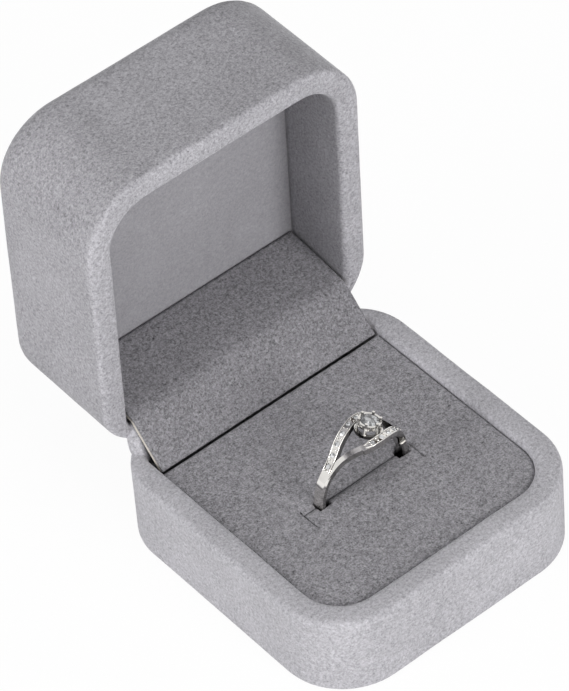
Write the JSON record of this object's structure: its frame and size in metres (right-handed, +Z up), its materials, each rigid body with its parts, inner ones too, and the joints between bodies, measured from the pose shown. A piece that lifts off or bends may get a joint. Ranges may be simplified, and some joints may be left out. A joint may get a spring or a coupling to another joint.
{
  "type": "ring box",
  "caption": "Velvet-covered ring box with a hinged lid held open, a slotted pad, a folding hinge flap and a jewelled ring standing in the slit.",
  "frame": {"origin": "centre of the base's underside, on the surface it rests on", "axes": "+Z up, -Y towards the front edge of the base, +X to the right along the hinge axis"},
  "size_m": [0.056, 0.0816, 0.0735],
  "materials": {
    "velvet_outer": "grey velvet, short nap",
    "velvet_pad": "fine grey suede velvet",
    "velvet_ceiling": "smooth grey velvet",
    "sole_velvet": "flat grey flock",
    "shell_plastic": "moulded, unpainted",
    "card": "pale pressed card",
    "foam": "grey open-cell foam",
    "hinge_steel": "zinc-plated spring steel",
    "ring_metal": "polished white metal",
    "stone": "clear faceted"
  },
  "bodies": {
    "base": {"base_shell": "shell_plastic", "base_velvet": "velvet_outer", "base_sole": "sole_velvet", "pad_velvet": "velvet_pad", "pad_board": "card", "pad_foam": "foam", "hinge_leaf_base": "hinge_steel", "hinge_pin": "hinge_steel", "hinge_rivets_base": "hinge_steel", "snap_spring": "hinge_steel", "hinge_web": "velvet_outer"},
    "lid": {"lid_shell": "shell_plastic", "lid_velvet": "velvet_outer", "ceiling_velvet": "velvet_ceiling", "ceiling_foam": "foam", "ceiling_board": "card", "ceiling_spacer": "card", "hinge_leaf_lid": "hinge_steel", "hinge_rivets_lid": "hinge_steel", "flap_upper_board": "card", "flap_upper_velvet": "velvet_pad"},
    "flap": {"flap_lower_board": "card", "flap_lower_velvet": "velvet_pad"},
    "ring": {"ring_shank": "ring_metal", "ring_head": "ring_metal", "centre_stone": "stone", "pave_stones": "stone"}
  },
  "joints": [
    {"name": "lid_hinge", "type": "hinge", "parent": "base", "child": "lid", "pos_m": [0, 0.02745, 0.0165], "axis": [1, 0, 0], "range_deg": [0, 88.4], "deforming": ["hinge_web"]},
    {"name": "flap_crease", "type": "hinge", "parent": "lid", "child": "flap", "pos_m": [0, 0.0268, 0.0223], "axis": [1, 0, 0], "range_deg": [-40, 0]},
    {"name": "ring_lift", "type": "slide", "parent": "base", "child": "ring", "axis": [0, 0, 1], "range_m": [0, 0.0022]}
  ],
  "couplings": [
    {"joint": "flap_crease", "follows": "lid_hinge", "ratio": -0.4502}
  ]
}
